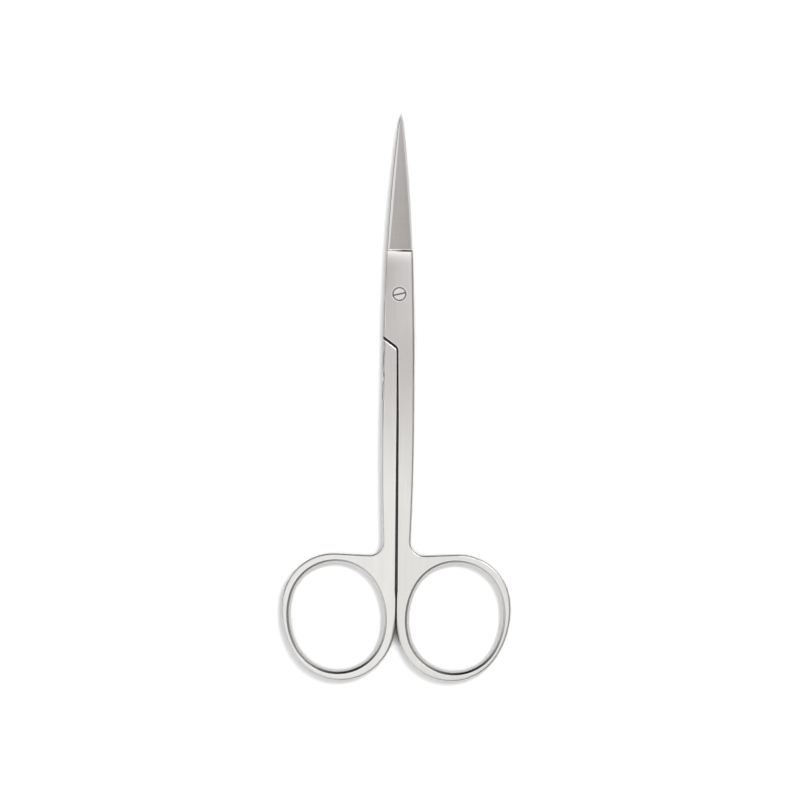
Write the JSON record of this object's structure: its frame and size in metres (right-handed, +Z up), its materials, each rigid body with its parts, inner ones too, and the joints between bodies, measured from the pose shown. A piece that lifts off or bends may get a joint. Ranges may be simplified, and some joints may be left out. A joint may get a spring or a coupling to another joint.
{
  "type": "iris scissors",
  "caption": "Straight sharp-pointed iris scissors with a lap joint, a slotted pivot screw and two finger rings, for fine cutting.",
  "frame": {"origin": "on the pivot axis, in the plane of the underside", "axes": "+Z up out of the table along the pivot axis, +Y towards the tips, +X towards the finger ring of the front half"},
  "size_m": [0.0466, 0.115, 0.0024],
  "materials": {
    "brushed_steel": "satin, brushed lengthwise",
    "screw_steel": "fine turned and ground flush"
  },
  "bodies": {
    "back": {"back_half": "brushed_steel", "pivot_screw": "screw_steel"},
    "front": {"front_half": "brushed_steel"}
  },
  "joints": [
    {"name": "pivot", "type": "hinge", "parent": "back", "child": "front", "pos_m": [0, 0, 0], "axis": [0, 0, 1], "range_deg": [0, 140]}
  ]
}
